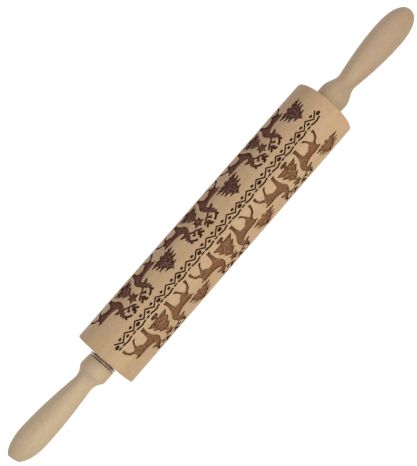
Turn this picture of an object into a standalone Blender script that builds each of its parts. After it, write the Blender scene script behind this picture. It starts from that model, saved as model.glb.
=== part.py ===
# Embossed rolling pin
#
# A hollow beech barrel turns on a steel axle that is screwed into two turned beech handles.
# A flanged bush lines each end of the barrel, and a loose thrust washer runs between each
# bush and its handle. The barrel is engraved with four rows of deer and firs over a zigzag.
# Lengths are in metres, the axle lies along X, and the middle of the whole pin is the origin.

import math

import bmesh
import bpy
from mathutils import Matrix, Vector

MM = 0.001

# Barrel
BARREL_LENGTH = 243.0 * MM
BARREL_DIAMETER = 50.0 * MM
BARREL_EDGE_ROUND = 1.4 * MM
BARREL_BORE_DIAMETER = 11.0 * MM

# Engraved pattern. One row of it is drawn flat, stretched a little if it has to be, and
# repeated round the barrel. Heights in a row count from the middle of its zigzag, and
# places along it from the middle of the barrel.
PATTERN_ROWS = 4
SIDES_IN_ROW = 7
DRAWN_ROW_HEIGHT = 39.27 * MM
PATTERN_MARGIN = 12.7 * MM
ENGRAVING_DEPTH = 1.3 * MM
CUT_OVERRUN = 1.0 * MM
ZIGZAG_STEP = 10.90 * MM
ZIGZAG_HEIGHT = 3.6 * MM
ZIGZAG_LINE = 1.1 * MM
GROUP_STEP = 70.1 * MM
GROUPS_OFF_MIDDLE = -5.9 * MM
FEET_LIFT = 5.9 * MM

# A group is a potted fir with a star on its tip, a deer on each side of it, and a small fir
# to the right. The points of each outline are shares of its width and height, and those of
# a fir run down its right half.
DEER_LENGTH = 25.9 * MM
DEER_HEIGHT = 21.0 * MM
DEER_TO_FIR = 7.9 * MM
DEER_SHARES = [
    (0.12, 0.00), (0.23, 0.00), (0.25, 0.30), (0.33, 0.38), (0.47, 0.375), (0.59, 0.24),
    (0.485, 0.00), (0.57, 0.00), (0.715, 0.285), (0.83, 0.235), (0.895, 0.00), (0.98, 0.00),
    (0.92, 0.26), (0.785, 0.40), (0.785, 0.51), (0.87, 0.555), (0.75, 0.62), (0.37, 0.635),
    (0.18, 0.735), (0.20, 0.80), (0.35, 0.79), (0.35, 0.855), (0.235, 0.96), (0.24, 1.15),
    (0.19, 1.24), (0.06, 1.325), (0.05, 1.265), (0.165, 1.19), (0.185, 1.10), (0.15, 1.01),
    (0.07, 1.00), (-0.12, 1.09), (-0.11, 1.22), (-0.02, 1.325), (-0.115, 1.275),
    (-0.24, 1.32), (-0.165, 1.21), (-0.175, 1.14), (-0.25, 1.18), (-0.10, 1.035),
    (0.04, 0.95), (-0.015, 0.70), (0.01, 0.53), (0.10, 0.36),
]
FIR_WIDTH = 19.8 * MM
FIR_HEIGHT = 23.1 * MM
FIR_SHARES = [
    (0.00, 1.00), (0.06, 0.92), (0.24, 0.89), (0.14, 0.81), (0.18, 0.695), (0.035, 0.72),
    (0.285, 0.51), (0.195, 0.475), (0.405, 0.31), (0.30, 0.275), (0.50, 0.12), (0.07, 0.12),
    (0.17, 0.065), (0.135, -0.02),
]
SMALL_FIR_WIDTH = 22.4 * MM
SMALL_FIR_HEIGHT = 15.8 * MM
SMALL_FIR_LIFT = 13.0 * MM
SMALL_FIR_TO_FIR = 34.6 * MM
SMALL_FIR_SHARES = [
    (0.00, 1.00), (0.105, 0.83), (0.26, 0.785), (0.135, 0.70), (0.395, 0.59), (0.245, 0.49),
    (0.445, 0.39), (0.265, 0.325), (0.50, 0.17), (0.38, 0.07), (0.12, 0.115), (0.05, 0.00),
]

# Axle rod
AXLE_DIAMETER = 8.0 * MM
AXLE_GRIP_LENGTH = 42.0 * MM
AXLE_END_CHAMFER = 0.8 * MM

# Flanged bushes in the ends of the barrel
BUSH_DIAMETER = 14.0 * MM
BUSH_LENGTH = 14.0 * MM
BUSH_FLANGE_DIAMETER = 19.0 * MM
BUSH_FLANGE_THICKNESS = 0.9 * MM
BUSH_LEAD_CHAMFER = 0.8 * MM

# Thrust washers
WASHER_DIAMETER = 22.0 * MM
WASHER_THICKNESS = 1.1 * MM
WASHER_EDGE_CHAMFER = 0.2 * MM

# Insert nuts in the handles
INSERT_DIAMETER = 12.0 * MM
INSERT_LENGTH = 12.0 * MM
INSERT_SINK = 1.0 * MM
INSERT_CHAMFER = 0.6 * MM
SMALL_SIDES = 20

# Handles, measured from the face that looks at the barrel
LEFT_HANDLE_LENGTH = 91.4 * MM
LEFT_FACE_DIAMETER = 21.8 * MM
LEFT_SHOULDER_DIAMETER = 22.8 * MM
LEFT_SHOULDER_PLACE = 10.3 * MM
LEFT_COVE_LENGTH = 8.6 * MM
LEFT_SWELL_DIAMETER = 22.0 * MM
LEFT_COVE_EASE_SHARE = 0.52
RIGHT_HANDLE_LENGTH = 95.2 * MM
RIGHT_FACE_DIAMETER = 22.6 * MM
RIGHT_SHOULDER_DIAMETER = 23.2 * MM
RIGHT_SHOULDER_PLACE = 6.8 * MM
RIGHT_COVE_LENGTH = 15.0 * MM
RIGHT_SWELL_DIAMETER = 23.5 * MM
RIGHT_COVE_EASE_SHARE = 1.18
HANDLE_NECK_DIAMETER = 14.9 * MM
HANDLE_NECK_LENGTH = 1.5 * MM
HANDLE_SWELL_PLACE = 69.5 * MM
HANDLE_FACE_ROUND = 0.8 * MM
HANDLE_TAPER_EASE_SHARE = 0.96
HANDLE_END_FULLNESS_SHARE = 2.3
HANDLE_SIDES = 24

# Fits
RUNNING_CLEARANCE = 0.1 * MM
SEAT_GAP = 0.2 * MM
RIGHT_WASHER_GAP = 0.3 * MM
LEFT_WASHER_TO_BUSH = 0.55 * MM
LEFT_WASHER_TO_HANDLE = 0.7 * MM

# Mesh
WELD_DISTANCE = 0.01 * MM
SHARP_ANGLE = math.radians(30)

# Points along the curved stretches of a profile
EDGE_STEPS = 3
COVE_STEPS = 5
TAPER_STEPS = 6
END_STEPS = 5

# Radii and places along the axle that follow from the sizes above
barrel_radius = BARREL_DIAMETER / 2
barrel_half = BARREL_LENGTH / 2
barrel_sides = PATTERN_ROWS * SIDES_IN_ROW
drawn_side_height = DRAWN_ROW_HEIGHT / SIDES_IN_ROW
pattern_length = BARREL_LENGTH - 2 * PATTERN_MARGIN
zigzag_steps = round(pattern_length / ZIGZAG_STEP)
groups_in_row = round(pattern_length / GROUP_STEP)
axle_radius = AXLE_DIAMETER / 2
running_bore_radius = axle_radius + RUNNING_CLEARANCE
bush_seat_radius = BUSH_DIAMETER / 2 + SEAT_GAP
insert_seat_radius = INSERT_DIAMETER / 2 + SEAT_GAP
grip_bore_radius = axle_radius + SEAT_GAP
flange_reach = barrel_half + SEAT_GAP + BUSH_FLANGE_THICKNESS
right_face_place = flange_reach + 2 * RIGHT_WASHER_GAP + WASHER_THICKNESS
left_face_place = flange_reach + LEFT_WASHER_TO_BUSH + WASHER_THICKNESS + LEFT_WASHER_TO_HANDLE
right_reach = right_face_place + RIGHT_HANDLE_LENGTH
left_reach = left_face_place + LEFT_HANDLE_LENGTH
barrel_middle = (left_reach - right_reach) / 2


def clear_scene():
    for old in list(bpy.data.objects):
        bpy.data.objects.remove(old, do_unlink=True)


def new_collection(name):
    collection = bpy.data.collections.new(name)
    bpy.context.scene.collection.children.link(collection)
    return collection


def finish(name, colour, roughness, metallic):
    """A plain surface finish with the colour that the real piece shows."""
    material = bpy.data.materials.new(name)
    material.use_nodes = True
    shader = material.node_tree.nodes["Principled BSDF"]
    shader.inputs["Base Color"].default_value = (*colour, 1)
    shader.inputs["Roughness"].default_value = roughness
    shader.inputs["Metallic"].default_value = metallic
    return material


clear_scene()
pin = new_collection("embossed_rolling_pin")
cutters = new_collection("cutters")

barrel_wood = finish("beech_barrel", (0.56, 0.42, 0.25), 0.55, 0.0)
handle_wood = finish("beech_handle", (0.50, 0.39, 0.24), 0.5, 0.0)
nylon = finish("white_nylon", (0.72, 0.70, 0.64), 0.4, 0.0)
zinc_steel = finish("zinc_steel", (0.55, 0.54, 0.50), 0.35, 1.0)
brass = finish("insert_brass", (0.68, 0.50, 0.22), 0.35, 1.0)

# The axle line is the axis that the barrel turns on. Its own Z points along world +X, to
# the right handle, and its own X points up, to the side of the barrel that is seen first.
axle_line = bpy.data.objects.new("axle_line", None)
axle_line.rotation_euler = (math.pi, -math.pi / 2, 0)
pin.objects.link(axle_line)


def quarter_round(middle_place, middle_radius, round_size, turned_from):
    """Points of a rounded edge, a quarter turn on from the given angle in degrees."""
    points = []
    for step in range(EDGE_STEPS + 1):
        angle = math.radians(turned_from - 90 * step / EDGE_STEPS)
        place = middle_place + round_size * math.sin(angle)
        radius = middle_radius + round_size * math.cos(angle)
        points.append((place, radius))
    return points


def keep_shape(piece):
    """Makes the swept shape the piece's own mesh, smooth but for its turned corners."""
    outline = piece.data
    swept = piece.evaluated_get(bpy.context.evaluated_depsgraph_get())
    mesh = bpy.data.meshes.new_from_object(swept)
    piece.modifiers.clear()
    piece.data = mesh
    bpy.data.meshes.remove(outline)
    mesh.name = piece.name
    mesh.shade_smooth()
    mesh.set_sharp_from_angle(angle=SHARP_ANGLE)


def turned(name, profile, closed, sides, material, place, faces_left=False):
    """A turned piece: a profile of (place, radius) points, swept once round the axle line.

    The profile runs down the piece's outer side, from its far end to its near one. Each
    round has flat sides that touch the true circle, so its size is measured across them.
    """
    corner = 1 / math.cos(math.pi / sides)
    half_side = math.pi / sides
    points = []
    for along, radius in profile:
        reach = radius * corner
        points.append((reach * math.cos(half_side), reach * math.sin(half_side), along))
    edges = [(index, index + 1) for index in range(len(points) - 1)]
    if closed:
        edges.append((len(points) - 1, 0))
    mesh = bpy.data.meshes.new(name)
    mesh.from_pydata(points, edges, [])
    piece = bpy.data.objects.new(name, mesh)
    pin.objects.link(piece)
    sweep = piece.modifiers.new("turn", "SCREW")
    sweep.axis = "Z"
    sweep.steps = sides
    sweep.render_steps = sides
    sweep.use_merge_vertices = True
    sweep.merge_threshold = WELD_DISTANCE
    mesh.materials.append(material)
    keep_shape(piece)
    piece.parent = axle_line
    piece.location.z = place
    if faces_left:
        piece.rotation_euler.x = math.pi
    return piece


def placed(shares, width, height, place, lift):
    """The points of an outline of this size, with its own zero at this place and lift."""
    return [(place + across * width, lift + up * height) for across, up in shares]


def both_halves(right_half):
    """The whole of an outline whose right half runs down from its middle line."""
    left_half = [(-across, up) for across, up in reversed(right_half) if across > 0]
    return right_half + left_half


def mirrored(outline, middle):
    return [(2 * middle - along, up) for along, up in outline]


def group_outlines(middle):
    """The figures of one group, whose potted fir stands at this place along the row."""
    deer_place = middle + DEER_TO_FIR
    deer = placed(DEER_SHARES, DEER_LENGTH, DEER_HEIGHT, deer_place, FEET_LIFT)
    fir = placed(both_halves(FIR_SHARES), FIR_WIDTH, FIR_HEIGHT, middle, FEET_LIFT)
    small_fir = placed(
        both_halves(SMALL_FIR_SHARES),
        SMALL_FIR_WIDTH,
        SMALL_FIR_HEIGHT,
        middle + SMALL_FIR_TO_FIR,
        FEET_LIFT + SMALL_FIR_LIFT,
    )
    return [deer, mirrored(deer, middle), fir, small_fir]


def zigzag_outline():
    """A line of even width that starts and ends in a valley."""
    half_run = zigzag_steps * ZIGZAG_STEP / 2
    steepness = math.atan2(ZIGZAG_HEIGHT, ZIGZAG_STEP / 2)
    half_line = ZIGZAG_LINE / 2 / math.cos(steepness)
    upper = []
    lower = []
    for turn in range(2 * zigzag_steps + 1):
        along = turn * ZIGZAG_STEP / 2 - half_run
        height = ZIGZAG_HEIGHT / 2 if turn % 2 else -ZIGZAG_HEIGHT / 2
        upper.append((along, height + half_line))
        lower.append((along, height - half_line))
    return upper + lower[::-1]


def row_outlines():
    outlines = [zigzag_outline()]
    first_group = GROUPS_OFF_MIDDLE - (groups_in_row - 1) / 2 * GROUP_STEP
    for group in range(groups_in_row):
        outlines += group_outlines(first_group + group * GROUP_STEP)
    return outlines


def wrapped(along, height, outward):
    """Where a point of the flat row lies once the row is folded round the barrel's sides.

    Each side of the barrel is flat, so the row folds only at the edges between them.
    """
    sides_up = height / drawn_side_height
    side = round(sides_up)
    angle = side * 2 * math.pi / barrel_sides
    flat_width = 2 * barrel_radius * math.tan(math.pi / barrel_sides)
    aside = (sides_up - side) * flat_width
    reach = 1 + outward / barrel_radius
    facing = Vector((math.cos(angle), math.sin(angle), 0)) * barrel_radius * reach
    sideways = Vector((-math.sin(angle), math.cos(angle), 0)) * aside * reach
    return facing + sideways + Vector((0, 0, along))


def pattern_cutter(outlines):
    """Everything to be engraved, as prisms that stand in the barrel's surface."""
    shape = bmesh.new()
    for outline in outlines:
        shape.faces.new([shape.verts.new((along, up, CUT_OVERRUN)) for along, up in outline])
    for fold in range(SIDES_IN_ROW):
        bmesh.ops.bisect_plane(
            shape,
            geom=shape.verts[:] + shape.edges[:] + shape.faces[:],
            dist=WELD_DISTANCE,
            plane_co=(0, (fold + 1 / 2) * drawn_side_height, 0),
            plane_no=(0, 1, 0),
        )
    raised = bmesh.ops.extrude_face_region(shape, geom=shape.faces[:])
    floor = [part for part in raised["geom"] if isinstance(part, bmesh.types.BMVert)]
    bmesh.ops.translate(shape, verts=floor, vec=(0, 0, -CUT_OVERRUN - ENGRAVING_DEPTH))
    for vertex in shape.verts:
        vertex.co = wrapped(*vertex.co)
    first_row = shape.verts[:] + shape.edges[:] + shape.faces[:]
    for row in range(1, PATTERN_ROWS):
        copied = bmesh.ops.duplicate(shape, geom=first_row)["geom"]
        turned_row = [part for part in copied if isinstance(part, bmesh.types.BMVert)]
        turn = Matrix.Rotation(row * 2 * math.pi / PATTERN_ROWS, 3, "Z")
        bmesh.ops.rotate(shape, verts=turned_row, matrix=turn)
    bmesh.ops.recalc_face_normals(shape, faces=shape.faces)
    mesh = bpy.data.meshes.new("pattern_cutter")
    shape.to_mesh(mesh)
    shape.free()
    cutter = bpy.data.objects.new("pattern_cutter", mesh)
    cutters.objects.link(cutter)
    cutter.hide_render = True
    cutter.display_type = "WIRE"
    cutter.parent = axle_line
    cutter.location.z = barrel_middle
    return cutter


def engrave(piece, cutter):
    """Cuts the pattern into the piece, and tidies the corners that the cut leaves.

    Corners that meet where two flat sides do are welded, and those that only split a
    straight edge are taken out.
    """
    cut = piece.modifiers.new("engrave", "BOOLEAN")
    cut.operation = "DIFFERENCE"
    cut.solver = "EXACT"
    cut.object = cutter
    bpy.context.view_layer.update()
    keep_shape(piece)
    shape = bmesh.new()
    shape.from_mesh(piece.data)
    bmesh.ops.remove_doubles(shape, verts=shape.verts, dist=WELD_DISTANCE)
    splitting = [vertex for vertex in shape.verts if len(vertex.link_edges) == 2]
    bmesh.ops.dissolve_verts(shape, verts=splitting)
    shape.to_mesh(piece.data)
    shape.free()


def make_barrel():
    """The engraved barrel: rounded ends, a bush seat at each end and a bore between."""
    inner_edge = barrel_half - BARREL_EDGE_ROUND
    edge_radius = barrel_radius - BARREL_EDGE_ROUND
    seat_floor = barrel_half - BUSH_LENGTH - SEAT_GAP
    bore_radius = BARREL_BORE_DIAMETER / 2
    profile = quarter_round(inner_edge, edge_radius, BARREL_EDGE_ROUND, 90)
    profile += quarter_round(-inner_edge, edge_radius, BARREL_EDGE_ROUND, 0)
    profile += [
        (-barrel_half, bush_seat_radius),
        (-seat_floor, bush_seat_radius),
        (-seat_floor, bore_radius),
        (seat_floor, bore_radius),
        (seat_floor, bush_seat_radius),
        (barrel_half, bush_seat_radius),
    ]
    barrel = turned("barrel", profile, True, barrel_sides, barrel_wood, barrel_middle)
    engrave(barrel, pattern_cutter(row_outlines()))


def make_bush(name, faces_left):
    """A flanged bush. Its sleeve lies in the barrel and its flange covers the end face."""
    flange_back = SEAT_GAP
    flange_front = flange_back + BUSH_FLANGE_THICKNESS
    flange_radius = BUSH_FLANGE_DIAMETER / 2
    sleeve_radius = BUSH_DIAMETER / 2
    profile = [
        (flange_front, running_bore_radius),
        (flange_front, flange_radius),
        (flange_back, flange_radius),
        (flange_back, sleeve_radius),
        (-BUSH_LENGTH + BUSH_LEAD_CHAMFER, sleeve_radius),
        (-BUSH_LENGTH, sleeve_radius - BUSH_LEAD_CHAMFER),
        (-BUSH_LENGTH, running_bore_radius),
    ]
    place = barrel_middle - barrel_half if faces_left else barrel_middle + barrel_half
    return turned(name, profile, True, SMALL_SIDES, nylon, place, faces_left)


def make_washer(name, near_place, faces_left):
    """A thrust washer, loose on the axle. near_place is its face nearer the barrel."""
    outer = WASHER_DIAMETER / 2
    chamfered = outer - WASHER_EDGE_CHAMFER
    profile = [
        (WASHER_THICKNESS, running_bore_radius),
        (WASHER_THICKNESS, chamfered),
        (WASHER_THICKNESS - WASHER_EDGE_CHAMFER, outer),
        (WASHER_EDGE_CHAMFER, outer),
        (0, chamfered),
        (0, running_bore_radius),
    ]
    place = barrel_middle - near_place if faces_left else barrel_middle + near_place
    return turned(name, profile, True, SMALL_SIDES, zinc_steel, place, faces_left)


def make_axle():
    """The rod that both handles are screwed to, with a chamfer at each end."""
    left_end = barrel_middle - left_face_place - AXLE_GRIP_LENGTH
    right_end = barrel_middle + right_face_place + AXLE_GRIP_LENGTH
    length = right_end - left_end
    tip_radius = axle_radius - AXLE_END_CHAMFER
    profile = [
        (length, 0),
        (length, tip_radius),
        (length - AXLE_END_CHAMFER, axle_radius),
        (AXLE_END_CHAMFER, axle_radius),
        (0, tip_radius),
        (0, 0),
    ]
    return turned("axle_rod", profile, False, SMALL_SIDES, zinc_steel, left_end)


def make_insert(name, face_place, faces_left):
    """The threaded insert that holds a handle on the rod. The threads are left plain."""
    outer = INSERT_DIAMETER / 2
    chamfered = outer - INSERT_CHAMFER
    near = INSERT_SINK
    far = near + INSERT_LENGTH
    profile = [
        (far, grip_bore_radius),
        (far, chamfered),
        (far - INSERT_CHAMFER, outer),
        (near, outer),
        (near, grip_bore_radius),
    ]
    place = barrel_middle - face_place if faces_left else barrel_middle + face_place
    return turned(name, profile, True, SMALL_SIDES, brass, place, faces_left)


def handle_outline(length, face, shoulder, shoulder_place, cove_length, swell, cove_ease):
    """The handle's outer side from its round end to the edge of its face."""
    neck = HANDLE_NECK_DIAMETER / 2
    cove_end = shoulder_place + cove_length
    taper_start = cove_end + HANDLE_NECK_LENGTH
    points = []
    for step in range(END_STEPS):
        angle = math.pi / 2 * (1 - step / END_STEPS)
        along = math.sin(angle) ** (2 / HANDLE_END_FULLNESS_SHARE)
        inward = math.cos(angle) ** (2 / HANDLE_END_FULLNESS_SHARE) if step else 0
        place = HANDLE_SWELL_PLACE + (length - HANDLE_SWELL_PLACE) * along
        points.append((place, swell * inward))
    for step in range(TAPER_STEPS + 1):
        share = 1 - step / TAPER_STEPS
        rise = math.sin(math.pi / 2 * share) ** HANDLE_TAPER_EASE_SHARE
        place = taper_start + (HANDLE_SWELL_PLACE - taper_start) * share
        points.append((place, neck + (swell - neck) * rise))
    for step in range(COVE_STEPS + 1):
        share = 1 - step / COVE_STEPS
        rise = (1 + math.cos(math.pi * share**cove_ease)) / 2
        points.append((shoulder_place + cove_length * share, neck + (shoulder - neck) * rise))
    edge_middle = face - HANDLE_FACE_ROUND
    points += quarter_round(HANDLE_FACE_ROUND, edge_middle, HANDLE_FACE_ROUND, 0)
    return points


def make_handle(name, outline, face_place, faces_left):
    """A turned handle, with a blind bore for the rod and a wider seat for its insert."""
    insert_floor = INSERT_SINK + INSERT_LENGTH + SEAT_GAP
    bore_floor = AXLE_GRIP_LENGTH + SEAT_GAP
    bore = [
        (0, insert_seat_radius),
        (insert_floor, insert_seat_radius),
        (insert_floor, grip_bore_radius),
        (bore_floor, grip_bore_radius),
        (bore_floor, 0),
    ]
    place = barrel_middle - face_place if faces_left else barrel_middle + face_place
    return turned(name, outline + bore, False, HANDLE_SIDES, handle_wood, place, faces_left)


make_barrel()
make_axle()
make_bush("left_bush", True)
make_bush("right_bush", False)
make_washer("left_thrust_washer", flange_reach + LEFT_WASHER_TO_BUSH, True)
make_washer("right_thrust_washer", flange_reach + RIGHT_WASHER_GAP, False)
make_insert("left_insert_nut", left_face_place, True)
make_insert("right_insert_nut", right_face_place, False)

left_outline = handle_outline(
    LEFT_HANDLE_LENGTH,
    LEFT_FACE_DIAMETER / 2,
    LEFT_SHOULDER_DIAMETER / 2,
    LEFT_SHOULDER_PLACE,
    LEFT_COVE_LENGTH,
    LEFT_SWELL_DIAMETER / 2,
    LEFT_COVE_EASE_SHARE,
)
right_outline = handle_outline(
    RIGHT_HANDLE_LENGTH,
    RIGHT_FACE_DIAMETER / 2,
    RIGHT_SHOULDER_DIAMETER / 2,
    RIGHT_SHOULDER_PLACE,
    RIGHT_COVE_LENGTH,
    RIGHT_SWELL_DIAMETER / 2,
    RIGHT_COVE_EASE_SHARE,
)
make_handle("left_handle", left_outline, left_face_place, True)
make_handle("right_handle", right_outline, right_face_place, False)
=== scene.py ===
# %% [markdown]
# # An embossed rolling pin
#
# A beech barrel is engraved with deer, firs and a zigzag band, and it turns on a steel rod
# between two turned handles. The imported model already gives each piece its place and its
# motion. This lesson dresses it: the barrel gets its engraving, the turned pieces get fine
# rounds, and every surface gets a finish made of shader nodes.

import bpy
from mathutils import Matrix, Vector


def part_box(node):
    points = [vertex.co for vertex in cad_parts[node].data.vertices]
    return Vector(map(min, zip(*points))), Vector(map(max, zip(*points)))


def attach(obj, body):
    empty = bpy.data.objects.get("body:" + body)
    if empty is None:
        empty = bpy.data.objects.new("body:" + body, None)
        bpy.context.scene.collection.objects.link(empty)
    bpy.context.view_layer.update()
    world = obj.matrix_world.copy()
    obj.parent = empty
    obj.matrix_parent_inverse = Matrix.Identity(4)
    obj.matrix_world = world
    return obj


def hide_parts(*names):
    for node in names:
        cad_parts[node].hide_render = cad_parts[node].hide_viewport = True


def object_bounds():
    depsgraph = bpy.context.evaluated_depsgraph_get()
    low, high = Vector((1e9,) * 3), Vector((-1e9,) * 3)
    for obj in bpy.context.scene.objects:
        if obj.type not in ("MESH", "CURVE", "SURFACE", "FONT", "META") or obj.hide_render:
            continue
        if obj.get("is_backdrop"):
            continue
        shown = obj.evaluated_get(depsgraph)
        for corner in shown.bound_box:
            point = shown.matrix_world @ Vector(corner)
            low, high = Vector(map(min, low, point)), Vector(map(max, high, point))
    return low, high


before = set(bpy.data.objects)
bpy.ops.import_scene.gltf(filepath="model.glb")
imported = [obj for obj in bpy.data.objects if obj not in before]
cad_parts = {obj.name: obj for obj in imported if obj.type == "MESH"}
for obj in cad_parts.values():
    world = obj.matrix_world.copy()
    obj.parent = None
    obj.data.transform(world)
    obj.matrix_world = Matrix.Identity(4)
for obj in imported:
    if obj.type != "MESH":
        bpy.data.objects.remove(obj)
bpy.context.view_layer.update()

# %% The other modules
import math

import bmesh
import bpy
from mathutils import Euler, Matrix, Vector

# %% [markdown]
# ## Sizes
#
# Blender works in metres, and a maker thinks in millimetres, so every size is written in
# millimetres times `MM`.

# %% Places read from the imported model
MM = 0.001

barrel_low, barrel_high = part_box("barrel")
barrel_length = barrel_high.x - barrel_low.x
barrel_middle = (barrel_high.x + barrel_low.x) / 2
barrel_radius = barrel_high.z
barrel_half = barrel_length / 2
print(f"barrel {barrel_length / MM:.1f} mm long, {2 * barrel_radius / MM:.1f} mm across")

# %% [markdown]
# ## The camera
#
# The photograph looks almost straight down on the pin, from a little to the left of its
# middle, and the frame is turned so that the pin runs from corner to corner. A long lens
# keeps both handles nearly the same size. The picture is 466 pixels on its long side, and
# Blender's sensor width belongs to that side.

# %% Place the camera
CAMERA_PLACE = Vector((-87.76, -7.79, 827.41)) * MM
CAMERA_TURN_DEGREES = (4.77, -3.10, -49.155)
CAMERA_LENS = 88.86

camera = bpy.data.objects.new("camera", bpy.data.cameras.new("camera"))
bpy.context.scene.collection.objects.link(camera)
camera.location = CAMERA_PLACE
camera.rotation_euler = Euler([math.radians(turn) for turn in CAMERA_TURN_DEGREES])
camera.data.lens = CAMERA_LENS
bpy.context.scene.camera = camera
print("camera", tuple(round(value, 3) for value in camera.location))

# %% [markdown]
# ## Shader sums that read as sums
#
# A material is a graph of nodes, and most of the graph is arithmetic on masks. `Wire` holds
# one socket of such a graph. Adding or multiplying wires adds the Math nodes, and `node`
# adds any other node with its settings first and then the values or wires of its sockets.

# %% A wire in a node tree
class Wire:
    """One output socket of a material's nodes."""

    def __init__(self, tree, socket):
        self.tree = tree
        self.socket = socket

    def node(self, kind, settings, sockets, output=0):
        """Adds a node with these settings and sockets, and returns one of its outputs."""
        made = self.tree.nodes.new(kind)
        for name, value in settings.items():
            setattr(made, name, value)
        for name, value in sockets.items():
            if isinstance(value, Wire):
                self.tree.links.new(value.socket, made.inputs[name])
            else:
                made.inputs[name].default_value = value
        return Wire(self.tree, made.outputs[output])

    def math(self, operation, *terms):
        sockets = dict(enumerate(terms))
        return self.node("ShaderNodeMath", {"operation": operation}, sockets)

    def __add__(self, other):
        return self.math("ADD", self, other)

    def __sub__(self, other):
        return self.math("SUBTRACT", self, other)

    def __mul__(self, other):
        return self.math("MULTIPLY", self, other)

    def __rsub__(self, other):
        return self.math("SUBTRACT", other, self)

    __radd__ = __add__
    __rmul__ = __mul__


# %% Start a finish
def new_finish(name, roughness, metallic=0.0):
    """A new material, its main shader, and a wire with the piece's own coordinates."""
    material = bpy.data.materials.new(name)
    material.use_nodes = True
    tree = material.node_tree
    shader = tree.nodes["Principled BSDF"]
    shader.inputs["Roughness"].default_value = roughness
    shader.inputs["Metallic"].default_value = metallic
    coordinates = tree.nodes.new("ShaderNodeTexCoord")
    return material, shader, Wire(tree, coordinates.outputs["Object"])


def connect(shader, socket_name, wire):
    wire.tree.links.new(wire.socket, shader.inputs[socket_name])


# %% Masks and colours made from wires
def axis_of(place, axis):
    """One coordinate of the place: X, Y or Z."""
    return place.node("ShaderNodeSeparateXYZ", {}, {"Vector": place}, output="XYZ".index(axis))


def scaled(place, factors):
    """The coordinates with each axis multiplied, so that a pattern is drawn out or squeezed."""
    return place.node("ShaderNodeVectorMath", {"operation": "MULTIPLY"}, {0: place, 1: factors})


def noise(place, factors, detail, roughness=0.55):
    """Cloudy noise from 0 to 1, with this many clouds to the metre along X, Y and Z."""
    sockets = {"Scale": 1.0, "Detail": detail, "Roughness": roughness}
    sockets["Vector"] = scaled(place, factors)
    return place.node("ShaderNodeTexNoise", {}, sockets)


def between(wire, low, high):
    """A mask that goes smoothly from 0 at low to 1 at high."""
    settings = {"interpolation_type": "SMOOTHSTEP"}
    sockets = {"Value": wire, "From Min": low, "From Max": high}
    return wire.node("ShaderNodeMapRange", settings, sockets)


def mixed(mask, first, second):
    """The first colour where the mask is 0 and the second where it is 1."""
    sockets = {0: mask, 6: first, 7: second}
    for index in (6, 7):
        if not isinstance(sockets[index], Wire):
            sockets[index] = (*sockets[index], 1)
    return mask.node("ShaderNodeMix", {"data_type": "RGBA"}, sockets, output=2)


def bumped(height, depth):
    """A normal that a height from 0 to 1 pushes in and out by this depth."""
    return height.node("ShaderNodeBump", {}, {"Height": height, "Distance": depth})


# %% [markdown]
# ## Beech
#
# Beech is pale pinkish tan with straight, fine fibres and countless short dark flecks, which
# are the ends and sides of its rays. Four layers make it: faint broad bands from the growth
# rings, thin fibres drawn out along the grain, a rosy blush in soft patches, and flecks,
# which are a noise stretched along the grain and cut off high so that only its peaks stay.
# The grain of the barrel and of the handles runs along X.

# %% The layers of beech
RING_CLOUDS_ALONG = 6
FIBRE_CLOUDS = (70, 2600, 2600)
FLECK_CLOUDS = (420, 3600, 3600)
BLUSH_CLOUDS = (55, 110, 110)
RING_LIMITS = (0.32, 0.70)
FIBRE_LIMITS = (0.30, 0.75)
FLECK_LIMITS = (0.60, 0.74)
BLUSH_LIMITS = (0.40, 0.66)
RING_TONE_SHARE = 0.55
BLUSH_SHARE = 0.45
FLECK_SHARE = 0.55
BEECH_FLECK = (0.290, 0.155, 0.070)


def beech_layers(place, band_width, shift):
    """The ring, fibre, fleck and blush noises of beech whose grain runs along X."""
    moved = place.node("ShaderNodeVectorMath", {"operation": "ADD"}, {0: place, 1: shift})
    rings = noise(moved, (RING_CLOUDS_ALONG, 1 / band_width, 1 / band_width), detail=2.0)
    fibres = noise(moved, FIBRE_CLOUDS, detail=4.0, roughness=0.7)
    flecks = noise(moved, FLECK_CLOUDS, detail=1.0)
    blush = noise(moved, BLUSH_CLOUDS, detail=1.0)
    return rings, fibres, between(flecks, *FLECK_LIMITS), between(blush, *BLUSH_LIMITS)


def beech_colour(layers, pale, deep, rosy):
    rings, fibres, flecks, blush = layers
    ring_tone = RING_TONE_SHARE * between(rings, *RING_LIMITS)
    tone = ring_tone + (1 - RING_TONE_SHARE) * between(fibres, *FIBRE_LIMITS)
    sound_wood = mixed(BLUSH_SHARE * blush, mixed(tone, pale, deep), rosy)
    return mixed(FLECK_SHARE * flecks, sound_wood, BEECH_FLECK)


# %% [markdown]
# ## The engraved barrel's finish
#
# A laser burns the pattern away, so the floor of every recess is brown and a little rough,
# and its walls darken from the rim down. One material does both: the distance from the axle
# line says how deep a point lies, and that depth is the mask between bare wood and burnt
# wood. The end faces show end grain, which is darker and dotted with pores.
#
# The lines and the antlers are charred darkest, the legs less and the broad bodies least. The
# firs are burnt in coarser dots than the deer. The char also carries painted light and shade:
# it is painted paler on the lit -Y side of the barrel and darker on the shaded +Y side, where
# the small firs are greyer too. The finish finds the firs by their places along the barrel. It
# finds the lines, the legs and the antlers by their distance from the zigzag: the legs stand
# just above it, and the antlers reach up to it from below.
#
# The rows of the pattern run a little askew: from left to right they drop by a few
# thousandths of the way, and beyond the middle by over a hundredth. The distance from the
# zigzag has to allow for this.

# %% Where the rows and their figures lie
ENGRAVING_DEPTH = 1.3 * MM
GROUP_STEP = 70.1 * MM
MIDDLE_GROUP_PLACE = -5.9 * MM
ROWS = 4
ROW_HEIGHT = 2 * math.pi * barrel_radius / ROWS
ROW_SHIFT = 0.17 * MM
ROW_SKEW_SHARE = 0.004
ROW_DROP_START = 15 * MM
ROW_DROP_SHARE = 0.011


def row_drop(along, past_start):
    """How far a row has dropped at this place, of which this much is past the start."""
    return ROW_SHIFT + ROW_SKEW_SHARE * along + ROW_DROP_SHARE * past_start


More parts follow.
